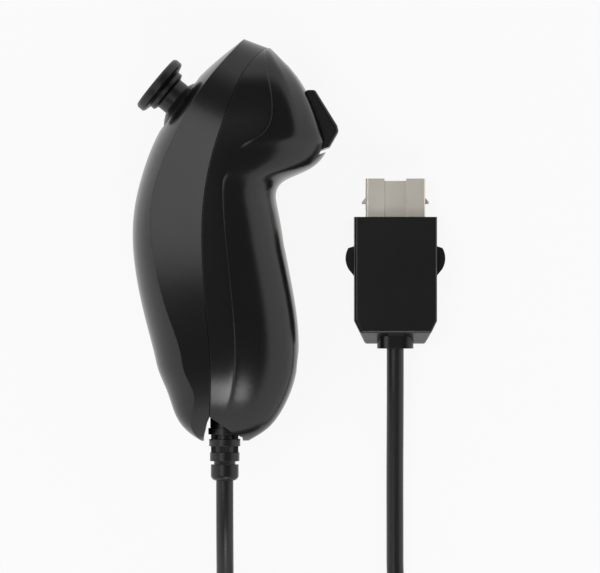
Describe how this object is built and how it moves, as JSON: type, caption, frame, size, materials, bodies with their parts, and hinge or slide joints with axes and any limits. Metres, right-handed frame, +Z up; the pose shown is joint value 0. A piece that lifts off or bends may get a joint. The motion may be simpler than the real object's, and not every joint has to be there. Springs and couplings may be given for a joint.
{
  "type": "motion controller wand",
  "caption": "One-handed game controller with a thumbstick, two front buttons, a finger hook and a ribbed strain relief, on a coiled lead with a latching plug.",
  "frame": {"origin": "under the middle of the controller's bounding box, on the surface it lies on", "axes": "the controller lies on its side: +Y from tail to nose, +X from the thumbstick's side to the buttons' side, +Z up across it"},
  "size_m": [0.0802, 0.2063, 0.0382],
  "materials": {
    "shell_black": "satin moulded plastic",
    "stick_rubber": "matt",
    "dark_plastic": "moulded",
    "white_plastic": "moulded",
    "board_green": "coated board",
    "chip_black": "moulded",
    "steel": "plated",
    "nickel": "warm nickel plate",
    "brass": "plated contacts",
    "pad_rubber": "grey silicone",
    "lead_black": "satin flexible plastic",
    "wire_red": "insulation"
  },
  "bodies": {
    "wand": {"top_shell": "shell_black", "bottom_shell": "shell_black", "plug_top_cover": "shell_black", "plug_bottom_cover": "shell_black", "spring_seat": "dark_plastic", "button_bracket": "dark_plastic", "cord_header": "white_plastic", "header_plug": "white_plastic", "main_board": "board_green", "button_board": "board_green", "controller_chip": "chip_black", "accelerometer_chip": "chip_black", "board_components": "chip_black", "potentiometer_along": "chip_black", "potentiometer_across": "chip_black", "plug_insulator": "chip_black", "module_frame": "steel", "module_base": "steel", "return_spring": "steel", "shell_screws": "steel", "board_screws": "steel", "bracket_screws": "steel", "trigger_pin": "steel", "latch_pins": "steel", "plug_metal_shell": "nickel", "plug_contacts": "brass", "dome_pad": "pad_rubber", "strain_relief": "lead_black", "cord_lead": "lead_black", "cord_coil": "lead_black", "cord_tail": "lead_black", "plug_grommet": "lead_black", "core_wires": "wire_red", "plug_wires": "wire_red"},
    "inner_rocker": {"inner_rocker": "dark_plastic"},
    "stick": {"thumb_cap": "stick_rubber", "stick_shaft": "white_plastic"},
    "outer_rocker": {"outer_rocker": "dark_plastic"},
    "z_button": {"z_button": "shell_black"},
    "c_button": {"c_button": "shell_black"},
    "latch_left": {"latch_arm_left": "steel", "release_button_left": "shell_black"},
    "latch_right": {"latch_arm_right": "steel", "release_button_right": "shell_black"}
  },
  "joints": [
    {"name": "stick_roll", "type": "hinge", "parent": "wand", "child": "inner_rocker", "pos_m": [-0.00624, 0.02875, 0.0191], "axis": [-0.6361, -0.7716, 0], "range_deg": [-15, 15], "stiffness_Nm_per_rad": 0.05},
    {"name": "stick_pitch", "type": "hinge", "parent": "inner_rocker", "child": "stick", "pos_m": [-0.00624, 0.02875, 0.0191], "axis": [0, 0, 1], "range_deg": [-15, 15], "stiffness_Nm_per_rad": 0.05},
    {"name": "rocker_pitch", "type": "hinge", "parent": "wand", "child": "outer_rocker", "pos_m": [-0.00624, 0.02875, 0.0191], "axis": [0, 0, 1], "range_deg": [-15, 15]},
    {"name": "z_press", "type": "hinge", "parent": "wand", "child": "z_button", "pos_m": [0.01453, 0.03566, 0.0191], "axis": [0, 0, -1], "range_deg": [0, 5.5], "stiffness_Nm_per_rad": 0.06},
    {"name": "c_press", "type": "slide", "parent": "wand", "child": "c_button", "axis": [-0.7672, -0.6414, 0], "range_m": [0, 0.001], "stiffness_N_per_m": 600},
    {"name": "latch_left_press", "type": "hinge", "parent": "wand", "child": "latch_left", "pos_m": [0.0347, -0.017, 0.0055], "axis": [0, 0, -1], "range_deg": [0, 3], "stiffness_Nm_per_rad": 0.08},
    {"name": "latch_right_press", "type": "hinge", "parent": "wand", "child": "latch_right", "pos_m": [0.0477, -0.017, 0.0055], "axis": [0, 0, 1], "range_deg": [0, 3], "stiffness_Nm_per_rad": 0.08}
  ],
  "couplings": [
    {"joint": "rocker_pitch", "follows": "stick_pitch", "ratio": 1}
  ]
}
